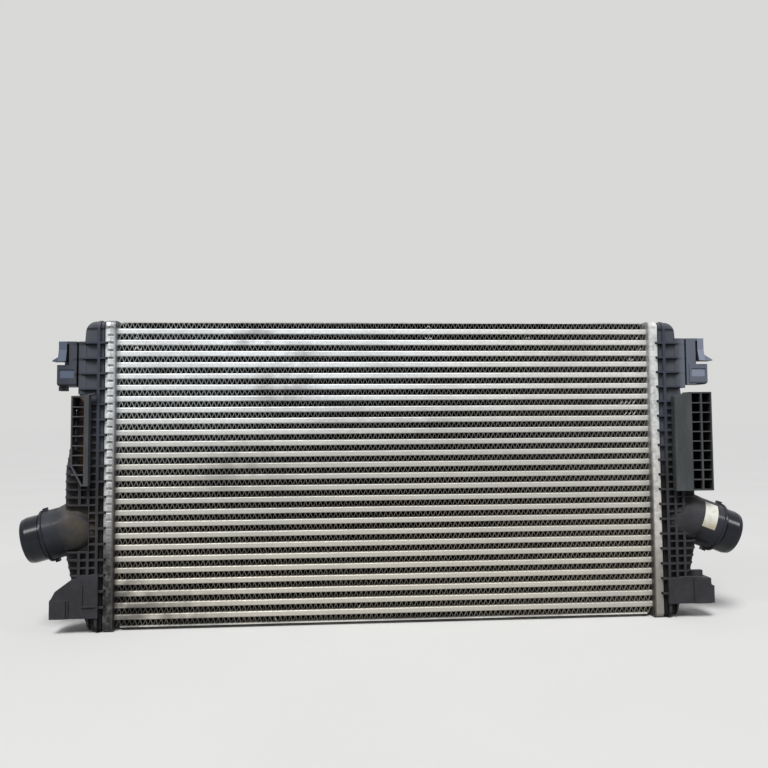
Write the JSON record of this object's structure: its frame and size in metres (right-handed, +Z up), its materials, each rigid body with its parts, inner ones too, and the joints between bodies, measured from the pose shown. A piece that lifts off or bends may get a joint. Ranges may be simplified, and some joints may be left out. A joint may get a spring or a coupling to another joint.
{
  "type": "intercooler",
  "caption": "Brazed aluminium charge-air cooler for a vehicle, with corrugated fins, ribbed plastic end tanks, hose spigots, clip brackets and side air guides.",
  "frame": {"origin": "below the middle of the core, level with the bottoms of the header plates and tanks", "axes": "+X along the tubes towards the tank with the steeper spigot, +Y through the core from the front face to the back, +Z up"},
  "size_m": [0.9129, 0.065, 0.3801],
  "materials": {
    "tubes": "extruded aluminium, satin, dusty",
    "fins": "thin rolled aluminium, satin, dark with dust",
    "side_plates": "rolled aluminium, satin",
    "header_plates": "pressed aluminium, satin, dusty",
    "gaskets": "matte",
    "tanks": "moulded black nylon, satin, dusty",
    "air_guides": "moulded dark grey plastic, matte",
    "label": "blank sticker, matte"
  },
  "bodies": {
    "root": {"tube_01": "tubes", "tube_02": "tubes", "tube_03": "tubes", "tube_04": "tubes", "tube_05": "tubes", "tube_06": "tubes", "tube_07": "tubes", "tube_08": "tubes", "tube_09": "tubes", "tube_10": "tubes", "tube_11": "tubes", "tube_12": "tubes", "tube_13": "tubes", "tube_14": "tubes", "tube_15": "tubes", "tube_16": "tubes", "tube_17": "tubes", "tube_18": "tubes", "tube_19": "tubes", "tube_20": "tubes", "tube_21": "tubes", "tube_22": "tubes", "tube_23": "tubes", "tube_24": "tubes", "tube_25": "tubes", "tube_26": "tubes", "fins_01": "fins", "fins_02": "fins", "fins_03": "fins", "fins_04": "fins", "fins_05": "fins", "fins_06": "fins", "fins_07": "fins", "fins_08": "fins", "fins_09": "fins", "fins_10": "fins", "fins_11": "fins", "fins_12": "fins", "fins_13": "fins", "fins_14": "fins", "side_plate_top": "side_plates", "side_plate_bottom": "side_plates", "header_plate_left": "header_plates", "header_plate_right": "header_plates", "gasket_left": "gaskets", "gasket_right": "gaskets", "tank_left": "tanks", "tank_right": "tanks", "air_guide_left": "air_guides", "air_guide_right": "air_guides", "label": "label"}
  },
  "joints": []
}
